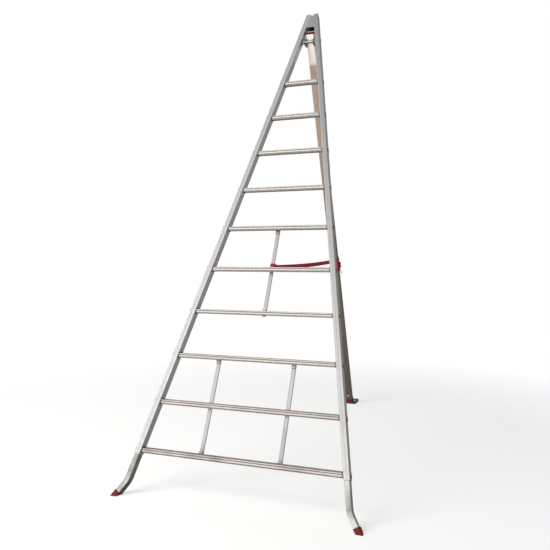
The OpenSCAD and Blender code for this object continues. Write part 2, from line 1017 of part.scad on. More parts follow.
shoe_sole();
shoe_plate();
shoe_bolt();
shoe_nut();
strap_loop();
strap_front();
strap_rear();
strap_wrap();
strap_knot();
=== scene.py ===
"""Orchard tripod ladder: finishes, moulded and woven pieces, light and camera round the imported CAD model."""
import json
import math
import random

import bmesh
import bpy
from mathutils import Matrix, Vector

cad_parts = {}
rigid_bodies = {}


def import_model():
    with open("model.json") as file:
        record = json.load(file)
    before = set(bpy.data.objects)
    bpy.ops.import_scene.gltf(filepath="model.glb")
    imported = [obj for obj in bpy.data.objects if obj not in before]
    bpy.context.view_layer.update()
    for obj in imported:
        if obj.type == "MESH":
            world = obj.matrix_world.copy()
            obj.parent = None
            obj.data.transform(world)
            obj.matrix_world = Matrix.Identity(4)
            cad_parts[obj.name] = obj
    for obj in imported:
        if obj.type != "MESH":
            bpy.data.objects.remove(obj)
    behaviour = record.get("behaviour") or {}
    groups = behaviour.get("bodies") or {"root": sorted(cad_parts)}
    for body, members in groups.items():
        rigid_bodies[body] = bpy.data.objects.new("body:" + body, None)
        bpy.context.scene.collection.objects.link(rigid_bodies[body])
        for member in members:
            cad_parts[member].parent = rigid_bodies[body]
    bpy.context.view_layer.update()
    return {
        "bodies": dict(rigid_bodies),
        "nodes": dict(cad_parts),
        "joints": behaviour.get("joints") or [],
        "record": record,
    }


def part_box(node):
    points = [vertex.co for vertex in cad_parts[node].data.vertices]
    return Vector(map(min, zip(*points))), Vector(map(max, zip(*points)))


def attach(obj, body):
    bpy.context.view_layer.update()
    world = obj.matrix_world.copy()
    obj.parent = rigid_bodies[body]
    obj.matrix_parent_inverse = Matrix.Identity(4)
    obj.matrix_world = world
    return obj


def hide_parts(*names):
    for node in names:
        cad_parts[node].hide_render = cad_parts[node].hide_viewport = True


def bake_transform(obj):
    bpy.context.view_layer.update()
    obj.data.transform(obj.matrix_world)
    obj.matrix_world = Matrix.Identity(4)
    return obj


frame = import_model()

# ---------------------------------------------------------------- driving dimensions, in metres and radians
LEAN = math.radians(25.5)
SIDE_ANGLE = math.radians(10.42)
LEG_ANGLE = math.radians(22.5)
FOOT_BEND = math.radians(22.0)
STILE_W = 0.033
STILE_D = 0.050
TUBE_W = 0.0286
TUBE_D = 0.0456
BEND_RADIUS = 0.120
BEND_START = 0.118
FOOT_TAIL = 0.054
TUBE_END = 0.114
HALF_GAP = 0.630
CAP_SOLE = 0.006
LEG_W = 0.058
LEG_D = 0.045
LEG_OFFSET = 0.0547
PIN_S = 3.155
PIN_DEP = 0.030
LEG_TOP = 0.062
LEG_CAP_FLANGE = 0.014
WEB_W = 0.028
WEB_T = 0.0024
WEB_X0 = 0.0135
WEB_X1 = 0.031
WEB_SAG = 0.010
KNOT_L = 1.684
LOOP_S = 1.421
STRUT_W = 0.024
STRUT_T = 0.012
STRUT_DEP = 0.048
TUBE_TOP = 0.2505
TUBE_CORNER = 0.0045
LEG_CORNER = 0.005

JOINTS = {joint["name"]: joint for joint in frame["joints"]}
HINGE = Vector(JOINTS["leg_fold"]["pos_m"])
STRAP_START = Vector(JOINTS["strap_swing"]["pos_m"])
FOOT_LINE_Y = HINGE.y - PIN_S * math.sin(LEAN) - PIN_DEP * math.cos(LEAN)

# Local frames: X across, Y to the back and Z up along the member
LADDER = Matrix.Translation((0, FOOT_LINE_Y, 0)) @ Matrix.Rotation(-LEAN, 4, "X")
LEG = Matrix.Translation(HINGE) @ Matrix.Rotation(LEG_ANGLE, 4, "X")


# ---------------------------------------------------------------- mesh helpers
def rounded_rect(width, depth, radius, steps=6):
    """Points of a rectangle with round corners, anticlockwise, centred on the origin."""
    points = []
    for quarter, (sx, sy) in enumerate(((1, 1), (-1, 1), (-1, -1), (1, -1))):
        cx = sx * (width / 2 - radius)
        cy = sy * (depth / 2 - radius)
        for i in range(steps + 1):
            a = math.radians(90 * (quarter + i / steps))
            points.append((cx + radius * math.cos(a), cy + radius * math.sin(a)))
    return points


def mesh_object(name, bm, place=None, sharp=40.0):
    """Turns a bmesh into a smooth-shaded object in the row frame, with edges sharper than an angle kept."""
    if place is not None:
        bmesh.ops.transform(bm, matrix=place, verts=bm.verts)
    bmesh.ops.recalc_face_normals(bm, faces=bm.faces)
    mesh = bpy.data.meshes.new(name)
    bm.to_mesh(mesh)
    bm.free()
    for polygon in mesh.polygons:
        polygon.use_smooth = True
    mesh.set_sharp_from_angle(angle=math.radians(sharp))
    obj = bpy.data.objects.new(name, mesh)
    bpy.context.scene.collection.objects.link(obj)
    return obj


def skin(bm, rows, closed=False):
    """Joins rows of vertices with quads, and either caps both ends or joins the last row to the first."""
    count = len(rows[0])
    pairs = list(zip(rows, rows[1:]))
    if closed:
        pairs.append((rows[-1], rows[0]))
    for low, high in pairs:
        for i in range(count):
            j = (i + 1) % count
            bm.faces.new((low[i], low[j], high[j], high[i]))
    if not closed:
        bm.faces.new(rows[0][::-1])
        bm.faces.new(rows[-1])


def loft(bm, rings):
    """Skins a list of closed rings of points and caps both ends."""
    skin(bm, [[bm.verts.new(point) for point in ring] for ring in rings])


def ring_at(width, depth, radius, z):
    return [Vector((x, y, z)) for x, y in rounded_rect(width, depth, radius)]


def cut_below(bm, level, place):
    """Cuts away what lies below a level of the ground and closes the cut."""
    bmesh.ops.transform(bm, matrix=place, verts=bm.verts)
    geometry = bm.verts[:] + bm.edges[:] + bm.faces[:]
    cut = bmesh.ops.bisect_plane(
        bm, geom=geometry, plane_co=(0, 0, level), plane_no=(0, 0, -1), clear_outer=True
    )
    edges = [e for e in cut["geom_cut"] if isinstance(e, bmesh.types.BMEdge)]
    bmesh.ops.holes_fill(bm, edges=edges, sides=0)


# ---------------------------------------------------------------- material helpers
DUST = (0.16, 0.12, 0.085)
# Painted shade: the dark tone that grooves and inside corners are darkened towards
CREVICE_SHADE_TONE = (0.075, 0.060, 0.050)
DRIED_SOIL = (0.20, 0.155, 0.11)
RUST = (0.20, 0.085, 0.04)
# Painted shade on the leg: tints multiplied in below its clean top, the lower one darker and greyer
LOW_SHADE_TINT = (0.38, 0.355, 0.315)
HIGH_SHADE_TINT = (0.60, 0.48, 0.41)


def ramp_stops(node, stops):
    """Sets a colour ramp to (position, grey) stops."""
    elements = node.color_ramp.elements
    while len(elements) < len(stops):
        elements.new(0.5)
    for element, (position, grey) in zip(elements, stops):
        element.position = position
        element.color = (grey, grey, grey, 1.0)


class Finish:
    """A material being built: its node tree and short ways to add to it."""

    def __init__(self, name, color, metallic, roughness):
        self.material = bpy.data.materials.new(name)
        self.material.use_nodes = True
        self.tree = self.material.node_tree
        self.shader = self.tree.nodes["Principled BSDF"]
        self.shader.inputs["Base Color"].default_value = (*color, 1.0)
        self.shader.inputs["Metallic"].default_value = metallic
        self.shader.inputs["Roughness"].default_value = roughness

    def add(self, kind, inputs=None, **settings):
        node = self.tree.nodes.new("ShaderNode" + kind)
        for key, value in settings.items():
            setattr(node, key, value)
        for key, value in (inputs or {}).items():
            self.feed(node.inputs[key], value)
        return node

    def feed(self, socket, value):
        if isinstance(value, bpy.types.NodeSocket):
            self.tree.links.new(value, socket)
        else:
            socket.default_value = value

    def math(self, operation, a, b=0.0, clamp=False):
        node = self.add("Math", {0: a, 1: b}, operation=operation, use_clamp=clamp)
        return node.outputs[0]

    def ramp(self, factor, stops):
        node = self.add("ValToRGB", {"Fac": factor})
        ramp_stops(node, stops)
        return node.outputs["Color"]

    def mix(self, factor, a, b, blend="MIX"):
        node = self.add("Mix", data_type="RGBA", blend_type=blend)
        self.feed(node.inputs[0], factor)
        self.feed(node.inputs[6], (*a, 1.0) if isinstance(a, tuple) else a)
        self.feed(node.inputs[7], (*b, 1.0) if isinstance(b, tuple) else b)
        return node.outputs[2]

    def place(self, turn=(0, 0, 0), scale=(1, 1, 1), source="Object"):
        """Object or UV coordinates, turned into a member's own frame and then scaled."""
        coords = self.add("TexCoord").outputs[source]
        turned = self.add("Mapping", {"Vector": coords, "Rotation": turn})
        return self.add("Mapping", {"Vector": turned.outputs[0], "Scale": scale}).outputs[0]

    def noise(self, vector, scale, detail=3.0, rough=0.5):
        node = self.add(
            "TexNoise", {"Vector": vector, "Scale": scale, "Detail": detail, "Roughness": rough}
        )
        return node.outputs["Fac"]

    def edge_mask(self, radius, gain):
        """Near 1 on outer edges: how far a rounded normal turns away from the true one."""
        rounded = self.add("Bevel", {"Radius": radius}, samples=4).outputs[0]
        normal = self.add("NewGeometry").outputs["Normal"]
        agree = self.add("VectorMath", {0: rounded, 1: normal}, operation="DOT_PRODUCT").outputs["Value"]
        return self.math("MULTIPLY", self.math("SUBTRACT", 1.0, agree), gain, clamp=True)

    def crevice_shade_mask(self, distance, gain):
        """Near 1 in grooves and inside corners: the mask for painted shade, from how little open sky each point
        sees.
        """
        open_sky = self.add("AmbientOcclusion", {"Distance": distance}, samples=6).outputs["AO"]
        return self.math("MULTIPLY", self.math("SUBTRACT", 1.0, open_sky), gain, clamp=True)

    def bump(self, height, strength, distance, normal=None):
        node = self.add("Bump", {"Height": height, "Strength": strength, "Distance": distance})
        if normal is not None:
            self.feed(node.inputs["Normal"], normal)
        return node.outputs[0]

    def set(self, name, value):
        self.feed(self.shader.inputs[name], value)


def shade(color, factor):
    return tuple(channel * factor for channel in color)


def low_height(finish, top):
    """1 on the ground, falling to 0 at a height in metres."""
    z = finish.add("SeparateXYZ", {"Vector": finish.place()}).outputs["Z"]
    return finish.math("SUBTRACT", 1.0, finish.math("DIVIDE", z, top), clamp=True)


def painted_shade_below(finish, clean, level):
    """Painted shade: a tan darkening below a height, greyer and darker near the ground, for the shade on the
    leg's lower part; the surface above it is left clean.
    """
    height = finish.add("SeparateXYZ", {"Vector": finish.place()}).outputs["Z"]
    blotch = finish.math("MULTIPLY", finish.noise(finish.place(), 9.0, 4.0, 0.6), 0.05)
    above = finish.math("SUBTRACT", finish.math("ADD", height, blotch), level)
    shaded_part = finish.math("SUBTRACT", 1.0, finish.math("DIVIDE", above, 0.022), clamp=True)
    raised = finish.math("DIVIDE", finish.math("SUBTRACT", height, 1.45), 0.75, clamp=True)
    return finish.mix(shaded_part, clean, finish.mix(raised, LOW_SHADE_TINT, HIGH_SHADE_TINT), "MULTIPLY")


def drawn_aluminium(
    name, color, roughness, turn, along, soil=0.35, crevice_shade_gain=0.9, groove=(0.0045, 2.2), metal=1.0, shade_top=None
):
    """Mill-finish aluminium with die lines along the member, scratches, worn edges with a painted edge
    highlight, dusty feet and painted shade in grooves and inside corners.
    """
    finish = Finish(name, color, 1.0, roughness)
    lines = tuple(5.0 if axis == along else 420.0 for axis in range(3))
    coarse = tuple(1.2 if axis == along else 90.0 for axis in range(3))
    streaks = finish.noise(finish.place(turn, lines), 1.0, 4.0, 0.6)
    bands = finish.noise(finish.place(turn, coarse), 1.0, 2.0)
    cloud = finish.noise(finish.place(), 7.0, 5.0, 0.6)
    scratch_field = finish.noise(finish.place((0.6, 0.3, 0.8), (60.0, 900.0, 60.0)), 1.0, 2.0)
    scratches = finish.ramp(scratch_field, [(0.66, 0.0), (0.70, 1.0)])
    edges = finish.edge_mask(0.0012, 3.0)
    tone = finish.mix(streaks, shade(color, 0.90), shade(color, 1.04))
    tone = finish.mix(finish.ramp(bands, [(0.35, 0.0), (0.65, 1.0)]), shade(color, 0.93), tone, "MIX")
    tone = finish.mix(finish.math("MULTIPLY", cloud, 0.35), tone, shade(color, 0.82))
    # Outer edges lightened: worn metal, and also a painted edge highlight
    tone = finish.mix(edges, tone, shade(color, 1.12))
    dust = finish.math("MULTIPLY", low_height(finish, 0.7), finish.ramp(cloud, [(0.42, 0.0), (0.68, 1.0)]))
    dust = finish.math("MULTIPLY", dust, soil, clamp=True)
    tone = finish.mix(dust, tone, DUST)
    # Painted shade: grooves and inside corners are darkened, made less metallic and rougher
    crevice_shade = finish.math("MULTIPLY", finish.crevice_shade_mask(*groove), crevice_shade_gain)
    surface = finish.mix(crevice_shade, tone, CREVICE_SHADE_TONE)
    # Painted shade: the leg is darkened below a height
    if shade_top is not None:
        surface = painted_shade_below(finish, surface, shade_top)
    finish.set("Base Color", surface)
    finish.set("Metallic", finish.math("SUBTRACT", metal, finish.math("MULTIPLY", crevice_shade, 0.8 * metal)))
    rough = finish.math("ADD", finish.math("MULTIPLY", streaks, 0.16), roughness - 0.08)
    rough = finish.math("ADD", rough, finish.math("MULTIPLY", crevice_shade, 0.3))
    rough = finish.math("ADD", rough, finish.math("MULTIPLY", cloud, 0.08))
    rough = finish.math("ADD", rough, finish.math("MULTIPLY", scratches, 0.10))
    finish.set("Roughness", finish.math("ADD", rough, finish.math("MULTIPLY", dust, 0.5), clamp=True))
    height = finish.math("ADD", streaks, finish.math("MULTIPLY", scratches, 0.6))
    finish.set("Normal", finish.bump(height, 0.10, 0.0003))
    return finish.material


def plated_steel(name, color, roughness):
    """Zinc-plated steel: a faint crystalline mottle, darker cloudy patches, bright rubbed edges and specks of
    rust.
    """
    finish = Finish(name, color, 1.0, roughness)
    cells = finish.add("TexVoronoi", {"Vector": finish.place(), "Scale": 260.0}).outputs["Distance"]
    cloud = finish.noise(finish.place(), 55.0, 5.0, 0.6)
    edges = finish.edge_mask(0.0010, 3.0)
    tone = finish.mix(finish.math("MULTIPLY", cells, 0.5), shade(color, 1.05), shade(color, 0.78))
    tone = finish.mix(finish.math("MULTIPLY", cloud, 0.4), tone, shade(color, 0.65))
    tone = finish.mix(edges, tone, shade(color, 1.35))
    rust = finish.ramp(finish.noise(finish.place(), 140.0, 6.0, 0.7), [(0.63, 0.0), (0.72, 0.7)])
    finish.set("Base Color", finish.mix(rust, tone, RUST))
    rough = finish.math("ADD", finish.math("MULTIPLY", cloud, 0.22), roughness - 0.08)
    finish.set("Roughness", finish.math("ADD", rough, finish.math("MULTIPLY", rust, 0.4), clamp=True))
    finish.set("Normal", finish.bump(cells, 0.08, 0.0004))
    return finish.material


def moulded_plastic(name, color, roughness, soil=0.5, grain=900.0, gloss=0.5):
    """Moulded plastic: a fine sparked grain, paler rubbed edges and dried soil near the ground."""
    finish = Finish(name, color, 0.0, roughness)
    finish.shader.inputs["Specular IOR Level"].default_value = gloss
    grains = finish.noise(finish.place(), grain, 2.0)
    cloud = finish.noise(finish.place(), 38.0, 5.0, 0.6)
    edges = finish.edge_mask(0.0016, 2.5)
    pale = tuple(1.6 * channel + 0.03 for channel in color)
    tone = finish.mix(cloud, shade(color, 0.72), shade(color, 1.15))
    tone = finish.mix(finish.math("MULTIPLY", edges, 0.6), tone, pale)
    dust = finish.math("MULTIPLY", low_height(finish, 0.12), finish.ramp(cloud, [(0.40, 0.0), (0.66, 1.0)]))
    dust = finish.math("MULTIPLY", dust, soil, clamp=True)
    finish.set("Base Color", finish.mix(dust, tone, DRIED_SOIL))
    rough = finish.math("ADD", finish.math("MULTIPLY", cloud, 0.2), roughness - 0.1)
    finish.set("Roughness", finish.math("ADD", rough, finish.math("MULTIPLY", dust, 0.4), clamp=True))
    finish.set("Normal", finish.bump(grains, 0.25, 0.0003))
    return finish.material


def woven_webbing(name, color):
    """Polyester webbing: warp ribs along the strap, weft across it, sheen, faded edges and a little soil."""
    finish = Finish(name, color, 0.0, 0.62)
    uv = finish.add("SeparateXYZ", {"Vector": finish.place(source="UV")})
    across = finish.math("MULTIPLY", uv.outputs["X"], 2 * math.pi / 0.0016)
    along = finish.math("MULTIPLY", uv.outputs["Y"], 2 * math.pi / 0.0022)
    warp = finish.math("SINE", across)
    weft = finish.math("SINE", finish.math("ADD", along, finish.math("MULTIPLY", across, 0.5)))
    weave = finish.math("ADD", warp, finish.math("MULTIPLY", weft, 0.8))
    level = finish.math("ADD", finish.math("MULTIPLY", weave, 0.25), 0.5, clamp=True)
    fuzz = finish.noise(finish.place(), 1400.0, 2.0)
    cloud = finish.noise(finish.place(), 22.0, 4.0, 0.6)
    edges = finish.edge_mask(0.0008, 2.0)
    tone = finish.mix(level, shade(color, 0.45), shade(color, 1.25))
    tone = finish.mix(finish.math("MULTIPLY", cloud, 0.45), tone, shade(color, 0.6))
    tone = finish.mix(finish.math("MULTIPLY", edges, 0.35), tone, tuple(0.7 * c + 0.12 for c in color))
    finish.set("Base Color", tone)
    finish.set("Roughness", finish.math("ADD", finish.math("MULTIPLY", fuzz, 0.3), 0.55))
    finish.shader.inputs["Sheen Weight"].default_value = 0.12
    finish.shader.inputs["Sheen Roughness"].default_value = 0.5
    finish.shader.inputs["Sheen Tint"].default_value = (0.6, 0.08, 0.12, 1.0)
    finish.shader.inputs["Specular IOR Level"].default_value = 0.15
    height = finish.math("ADD", level, finish.math("MULTIPLY", fuzz, 0.4))
    finish.set("Normal", finish.bump(height, 0.55, 0.0005))
    return finish.material


TURN_NONE = (0.0, 0.0, 0.0)
TURN_LADDER = (LEAN, 0.0, 0.0)
TURN_LEG = (-LEG_ANGLE, 0.0, 0.0)
ALONG_X = 0
ALONG_Z = 2

MATERIALS = {
    # Painted light: both stiles are the same aluminium; the left is paler with more diffuse lift, the right
    # darker and warmer, for how each is lit
    "left_stile": drawn_aluminium(
        "left_stile_aluminium", (0.77, 0.77, 0.78), 0.34, (LEAN, -SIDE_ANGLE, 0.0), ALONG_Z, metal=0.90
    ),
    "right_stile": drawn_aluminium(
        "right_stile_aluminium", (0.72, 0.70, 0.685), 0.34, (LEAN, SIDE_ANGLE, 0.0), ALONG_Z, metal=0.96
    ),
    "foot_tube": drawn_aluminium(
        "foot_tube_aluminium", (0.72, 0.71, 0.685), 0.36, TURN_LADDER, ALONG_Z, soil=0.7
    ),
    # The treads get a wider, much stronger groove mask, for the painted shade in their grooves
    "tread": drawn_aluminium(
        "tread_aluminium", (0.57, 0.53, 0.50), 0.30, TURN_NONE, ALONG_X,
        soil=0.5, crevice_shade_gain=1.0, groove=(0.010, 6.0), metal=0.66,
    ),
    "strut": drawn_aluminium("strut_aluminium", (0.76, 0.76, 0.755), 0.48, TURN_LADDER, ALONG_Z),
    "gusset": drawn_aluminium("gusset_aluminium", (0.72, 0.72, 0.72), 0.42, TURN_LADDER, ALONG_X),
    # The leg: a bright clean top, with painted shade from a little below the hinge down
    "leg": drawn_aluminium(
        "leg_aluminium", (0.98, 0.92, 0.83), 0.36, TURN_LEG, ALONG_Z, shade_top=HINGE.z - 0.12
    ),
    "zinc": plated_steel("zinc_plate", (0.62, 0.62, 0.64), 0.36),
    # Painted shade: the cheek plates are the same plated steel as the zinc parts, made darker for the shade
    # they sit in between the stiles
    "cheek": plated_steel("cheek_plate", (0.40, 0.40, 0.42), 0.42),
    "shoe_steel": plated_steel("shoe_plate_zinc", (0.75, 0.75, 0.75), 0.34),
    "bright": plated_steel("bright_bolt", (0.86, 0.86, 0.86), 0.20),
    "red": moulded_plastic("red_moulding", (0.115, 0.0026, 0.004), 0.50, 0.22, gloss=0.18),
    "plug": moulded_plastic("grey_plug", (0.16, 0.16, 0.165), 0.5, 0.1),
    "nylon": moulded_plastic("grey_nylon", (0.15, 0.15, 0.145), 0.45, 0.1),
    "rubber": moulded_plastic("black_rubber", (0.018, 0.018, 0.018), 0.7, 0.45, 600.0),
    "webbing": woven_webbing("crimson_webbing", (0.36, 0.010, 0.028)),
    "thread": moulded_plastic("strap_thread", (0.34, 0.05, 0.06), 0.7, 0.0, 2500.0),
}

SLOT_FINISH = {
    "tread_aluminium": "tread",
    "tube_aluminium": "foot_tube",
    "strut_aluminium": "strut",
    "gusset_aluminium": "gusset",
    "leg_aluminium": "leg",
    "zinc_steel": "zinc",
    "cheek_steel": "cheek",
    "shoe_steel": "shoe_steel",
    "bright_steel": "bright",
    "red_plastic": "red",
    "plug_plastic": "plug",
    "nylon": "nylon",
    "black_rubber": "rubber",
    "webbing": "webbing",
}


def set_material(obj, key):
    obj.data.materials.clear()
    obj.data.materials.append(MATERIALS[key])


def finish_cad_nodes():
    """Gives every carried-over CAD node its material and smooth round faces with crisp edges."""
    slots = {part["node"]: part["material_slot"] for part in frame["record"]["subparts"]}
    for name, obj in frame["nodes"].items():
        key = name if name in MATERIALS else SLOT_FINISH[slots[name]]
        set_material(obj, key)
        for polygon in obj.data.polygons:
            polygon.use_smooth = True
        weld = obj.modifiers.new("weld", "WELD")
        weld.merge_threshold = 1e-6
        split = obj.modifiers.new("crisp_edges", "EDGE_SPLIT")
        split.split_angle = math.radians(32)


# ---------------------------------------------------------------- feet
def stile_frame(side):
    """Frame of one stile in the row frame: X outward, Y back from the front face, Z up the stile."""
    mirror = Matrix.Diagonal((side, 1, 1, 1))
    foot = Matrix.Translation((HALF_GAP + STILE_W / 2 / math.cos(SIDE_ANGLE), STILE_D / 2, 0))
    return LADDER @ mirror @ foot @ Matrix.Rotation(-SIDE_ANGLE, 4, "Y")


def foot_bend_frame(angle):
    """Frame of the foot tube's middle line part of the way round its bend, in the stile's frame."""
    centre = Vector((BEND_RADIUS, 0, BEND_START / math.cos(SIDE_ANGLE)))
    turn = Matrix.Rotation(-angle, 4, "Y")
    return Matrix.Translation(centre) @ turn @ Matrix.Translation((-BEND_RADIUS, 0, 0))


def swept_rings(section, frames):
    return [[frame @ Vector((x, y, 0)) for x, y in section] for frame in frames]


def foot_tube(side):
    """The bent tube below a stile, with the rolled corners of a drawn section."""
    section = rounded_rect(TUBE_W, TUBE_D, TUBE_CORNER)
    top = Matrix.Translation((0, 0, TUBE_TOP))
    bend_steps = 16
    bend = [foot_bend_frame(FOOT_BEND * i / bend_steps) for i in range(bend_steps + 1)]
    tail_steps = 4
    tail = [bend[-1] @ Matrix.Translation((0, 0, -TUBE_END * i / tail_steps)) for i in range(1, tail_steps + 1)]
    bm = bmesh.new()
    loft(bm, swept_rings(section, [top] + bend + tail))
    cut_below(bm, CAP_SOLE, stile_frame(side))
    name = "left_foot_tube" if side < 0 else "right_foot_tube"
    obj = mesh_object(name + "_drawn", bm)
    finish_piece(obj, "foot_tube", "ladder", "tube_aluminium", name)


def foot_cap(side):
    """A moulded cap: rolled lip at its mouth, waisted skirt, two grip rings and a level sole."""
    frame = stile_frame(side) @ foot_bend_frame(FOOT_BEND) @ Matrix.Translation((0, 0, -FOOT_TAIL))
    profile = [
        (0.0000, 0.0001), (0.0000, 0.0030), (-0.0006, 0.0040), (-0.0020, 0.0046), (-0.0040, 0.0046),
        (-0.0052, 0.0040), (-0.0058, 0.0030), (-0.0140, 0.0030), (-0.0146, 0.0036), (-0.0172, 0.0036),
        (-0.0178, 0.0030), (-0.0206, 0.0030), (-0.0212, 0.0036), (-0.0238, 0.0036), (-0.0244, 0.0030),
        (-0.0270, 0.0032), (-0.0300, 0.0036), (-0.0560, 0.0036),
    ]
    bm = bmesh.new()
    loft(bm, [
        ring_at(TUBE_W + 2 * grow, TUBE_D + 2 * grow, TUBE_CORNER + grow, z) for z, grow in profile
    ])
    cut_below(bm, 0.0, frame)
    name = "left_foot_cap" if side < 0 else "right_foot_cap"
    obj = mesh_object(name + "_moulded", bm, sharp=50.0)
    bevel = obj.modifiers.new("rolled_edges", "BEVEL")
    bevel.width = 0.0006
    bevel.segments = 2
    bevel.limit_method = "ANGLE"
    bevel.angle_limit = math.radians(50)
    finish_piece(obj, "red", "ladder", "red_plastic", name)


def leg_top_cap():
    """The plug in the leg's top: a flange flush with the leg, a seam line and a softly domed crown."""
    profile = [
        (-0.0180, -0.0024), (-0.0001, -0.0022), (0.0, -0.0006), (0.0006, -0.0001), (0.0014, 0.0003),
        (0.0090, 0.0003), (0.0115, -0.0001), (0.0130, -0.0012), (0.0137, -0.0030), (0.0140, -0.0060),
        (0.0134, -0.0080), (0.0134, -0.0160),
    ]
    bm = bmesh.new()
    loft(bm, [
        ring_at(LEG_W + 2 * grow, LEG_D + 2 * grow, max(LEG_CORNER + grow, 0.0008), z) for z, grow in profile
    ])
    place = LEG @ Matrix.Translation((0, LEG_OFFSET, LEG_TOP - LEG_CAP_FLANGE))
    obj = mesh_object("leg_top_cap_moulded", bm, place, 50.0)
    finish_piece(obj, "red", "leg", "red_plastic", "leg_top_cap")


def finish_piece(obj, material, body, slot_name, *nodes):
    """Gives a piece its material and its body, and hides the CAD nodes that it stands for; its slot name is not
    used.
    """
    set_material(obj, material)
    if body is not None:
        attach(obj, body)
    if nodes:
        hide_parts(*nodes)


# ---------------------------------------------------------------- webbing
# Half of the section of a flat webbing, as shares of its width and of half its thickness
WEB_PROFILE = [
    (-0.5, 0.35), (-0.465, 0.95), (-0.3, 1.06), (-0.1, 0.97),
    (0.1, 0.97), (0.3, 1.06), (0.465, 0.95), (0.5, 0.35),
]


# Lengths along the strap from its start: bare webbing, doubled webbing, and the ends of the stitched box
SEWN_LENGTH = 0.034
DOUBLED_LENGTH = 0.040
STITCHED = (0.038, 0.068)
# Half the width of the stitched box, and the gap between two layers of webbing
STITCH_REACH = 0.0095
LAYER_GAP = 0.0001


def webbing(name, frames, width, thickness, closed=False):
    """A flat woven band through frames of (centre, across, out), with UVs in metres across and along it."""
    bm = bmesh.new()
    layer = bm.loops.layers.uv.new("UVMap")
    along = 0.0
    rows = []
    place = {}
    previous = frames[0][0]
    for centre, across, out in frames:
        along += (centre - previous).length
        previous = centre
        row = []
        for face, profile in ((1, WEB_PROFILE), (-1, WEB_PROFILE[::-1])):
            for share, rise in profile:
                vert = bm.verts.new(centre + across * (width * share) + out * (face * rise * thickness / 2))
                place[vert] = (width * share, along)
                row.append(vert)
        rows.append(row)
    skin(bm, rows, closed)
    for face in bm.faces:
        for loop in face.loops:
            loop[layer].uv = place[loop.vert]
    return mesh_object(name, bm, sharp=70.0)


def web_point(u):
    """A point of the strap's middle line, at a share of its run from the strut to the leg."""
    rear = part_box("strap_rear")[1]
    end = Vector((WEB_X1, rear[1], rear[2] - WEB_W / 2))
    start = Vector((WEB_X0, STRAP_START.y, STRAP_START.z))
    point = start.lerp(end, u)
    point.z -= 4 * WEB_SAG * u * (1 - u)
    return point


def web_frame(u, push=0.0):
    """Place and directions of the strap standing on its edge, with a slight sway and roll."""
    step = 1e-3
    ahead = (web_point(min(u + step, 1.0)) - web_point(max(u - step, 0.0))).normalized()
    settle = math.sin(math.pi * u)
    roll = settle * (0.10 * math.sin(9.0 * u + 0.4) + 0.05 * math.sin(23.0 * u))
    across = ahead.cross(Vector((1, 0, 0))).normalized()
    across = Matrix.Rotation(roll, 3, ahead) @ across
    out = ahead.cross(across).normalized()
    sway = settle * (0.0016 * math.sin(11.0 * u) + 0.0007 * math.sin(31.0 * u + 1.0))
    return web_point(u) + out * (push + sway), across, out


def stitches(name, rows):
    """Short thread stitches: each row is (start, end, out), filled with slightly sunken capsules."""
    length = 0.0030
    pitch = 1.45 * length
    thick = 0.0009
    bm = bmesh.new()
    for start, end, out in rows:
        run = end - start
        count = max(int(run.length / pitch), 1)
        ahead = run.normalized()
        side = out.cross(ahead)
        turn = Matrix((side, ahead, out)).transposed().to_4x4()
        for i in range(count):
            centre = start + run * ((i + 0.5) / count)
            size = Matrix.Diagonal((thick / 2, length / 2, thick / 2.6, 1))
            bmesh.ops.create_uvsphere(
                bm, u_segments=8, v_segments=6, radius=1.0, matrix=Matrix.Translation(centre) @ turn @ size
            )
    return mesh_object(name, bm)


def sewn_start(first, run):
    """The bare webbing that leads from the strut's loop to the doubled, stitched start of the free strap."""
    place = LADDER @ Matrix.Translation((STRUT_W / 2 + 0.0028, STRUT_DEP + STRUT_T / 2, LOOP_S))
    turn = place.to_3x3()
    leave = (place.translation, turn @ Vector((0, 0, -1)), Vector((-1, 0, 0)))
    join = web_frame(first)
    steps = 24
    frames = []
    for i in range(steps + 1):
        f = i / steps
        ease = f * f * (3 - 2 * f)
        centre = leave[0].lerp(join[0], f)
        across = leave[1].lerp(join[1], ease).normalized()
        out = leave[2].lerp(join[2], ease).normalized()
        frames.append((centre, across, out))
    bridge = webbing("strap_sewn_start", frames, WEB_W, WEB_T)
    set_material(bridge, "webbing")
    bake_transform(bridge)

    steps = 16
    shares = [first + DOUBLED_LENGTH / run * i / steps for i in range(steps + 1)]
    layer = [web_frame(u, -(WEB_T + LAYER_GAP)) for u in shares]
    doubled = webbing("strap_doubled_start", layer, WEB_W - 0.001, WEB_T)
    finish_piece(doubled, "webbing", "strap_front", "webbing")


def start_stitching(run):
    """A stitched box with a cross in it, on both faces of the doubled start."""
    rows = []
    for face, push in ((1, WEB_T / 2), (-1, -1.5 * WEB_T - LAYER_GAP)):
        centre, across, out = web_frame(STITCHED[0] / run, push)
        near = (centre + across * STITCH_REACH, centre - across * STITCH_REACH)
        centre, across, out = web_frame(STITCHED[1] / run, push)
        far = (centre + across * STITCH_REACH, centre - across * STITCH_REACH)
        for start, end in (
            (near[0], far[0]), (near[1], far[1]), (near[0], near[1]),
            (far[0], far[1]), (near[0], far[1]), (near[1], far[0]),
        ):
            rows.append((start, end, out * face))
    seam = stitches("strap_start_stitching", rows)
    finish_piece(seam, "thread", "strap_front", "webbing")


